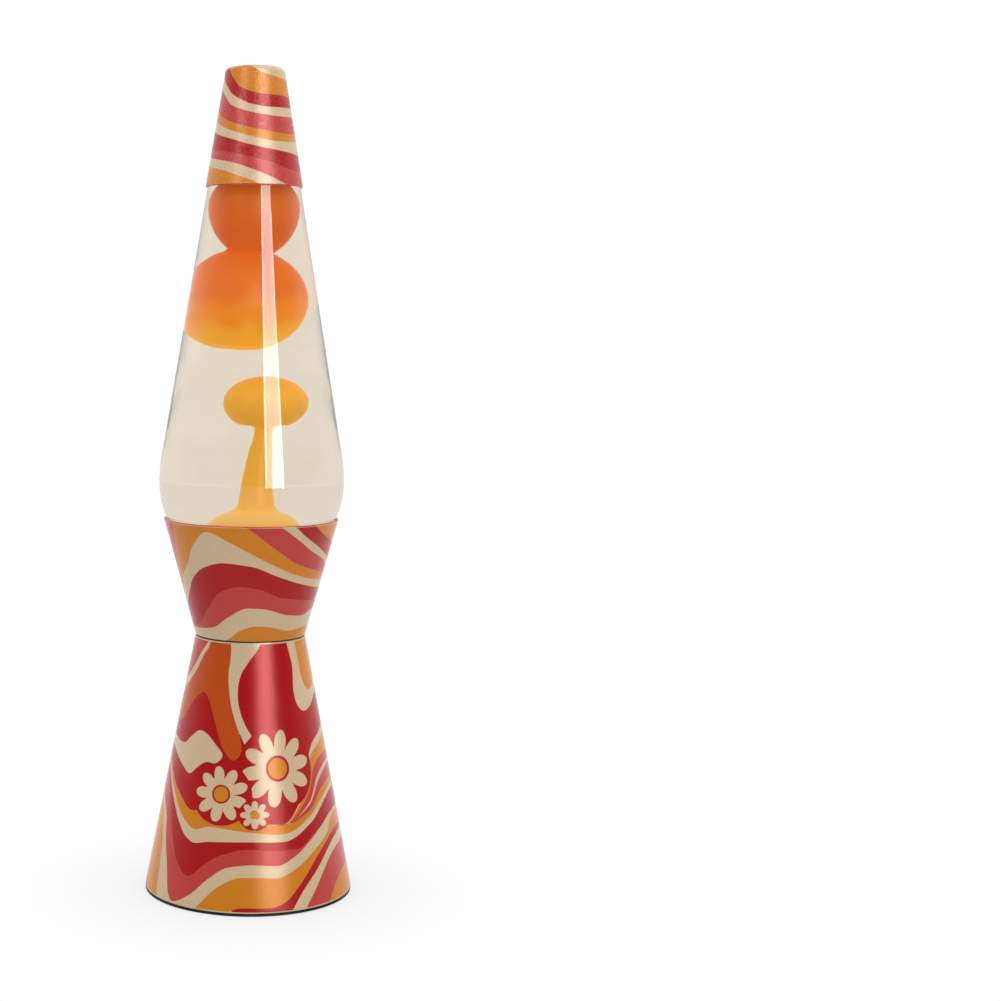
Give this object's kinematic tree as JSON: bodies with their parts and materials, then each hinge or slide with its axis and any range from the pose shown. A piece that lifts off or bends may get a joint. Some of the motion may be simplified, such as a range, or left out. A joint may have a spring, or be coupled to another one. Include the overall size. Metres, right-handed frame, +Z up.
{
  "type": "lava lamp",
  "caption": "Waisted two-cone lamp stand with a reflector bulb inside, a tapered glass bottle of liquid and wax standing in its upper cone, and a lift-off cone cap.",
  "frame": {"origin": "centre of the underside, on the plane the four feet stand on", "axes": "+Z up along the lamp's axis; the cord inlet is at the back, towards +Y; the front of the print faces -Y"},
  "size_m": [0.1016, 0.1016, 0.4],
  "materials": {
    "printed_film": "satin",
    "spun_aluminium": "satin",
    "clear_glass": "gloss",
    "lamp_liquid": "gloss",
    "wax": "satin",
    "steel_wire": "satin",
    "tinplate": "satin",
    "liner_plastic": "matte",
    "black_rubber": "matte",
    "rivet_aluminium": "satin",
    "black_plastic": "satin",
    "zinc_steel": "satin",
    "ivory_plastic": "satin",
    "white_ceramic": "matte",
    "brass": "satin",
    "bulb_glass": "gloss",
    "nickel": "satin",
    "black_glass": "gloss",
    "solder": "satin",
    "tungsten": "matte"
  },
  "bodies": {
    "stand": {"holder_shell": "spun_aluminium", "holder_wrap": "printed_film", "waist_gasket": "black_rubber", "waist_rivets": "rivet_aluminium", "base_shell": "spun_aluminium", "base_wrap": "printed_film", "base_plate": "black_plastic", "base_screws": "zinc_steel", "base_feet": "black_rubber", "cord_grommet": "black_rubber", "socket_bracket": "zinc_steel", "socket_nipple": "zinc_steel", "socket_locknut": "zinc_steel", "socket_washer": "zinc_steel", "socket_housing": "ivory_plastic", "socket_insert": "white_ceramic", "socket_terminals": "brass", "socket_screw_shell": "brass", "socket_contact": "brass", "socket_skirt": "ivory_plastic"},
    "bottle": {"glass_bottle": "clear_glass", "crown_cap": "tinplate", "crown_liner": "liner_plastic", "liquid": "lamp_liquid", "wax_column": "wax", "wax_coil": "steel_wire"},
    "cap": {"cap_shell": "spun_aluminium", "cap_wrap": "printed_film"},
    "wax_bubble": {"wax_bubble": "wax"},
    "bulb": {"bulb_glass": "bulb_glass", "bulb_cap": "nickel", "bulb_insulator": "black_glass", "bulb_contact": "solder", "bulb_stem": "clear_glass", "bulb_lead_wires": "nickel", "bulb_filament": "tungsten"}
  },
  "joints": [
    {"name": "bottle_lift", "type": "slide", "parent": "stand", "child": "bottle", "axis": [0, 0, 1], "range_m": [0, 0.08]},
    {"name": "cap_lift", "type": "slide", "parent": "bottle", "child": "cap", "axis": [0, 0, 1], "range_m": [0, 0.06]},
    {"name": "wax_drift", "type": "slide", "parent": "bottle", "child": "wax_bubble", "axis": [0, 0, 1], "range_m": [-0.009, 0.008]},
    {"name": "bulb_turn", "type": "hinge", "parent": "stand", "child": "bulb", "pos_m": [0, 0, 0.08], "axis": [0, 0, 1], "range_deg": [0, 1080]}
  ]
}
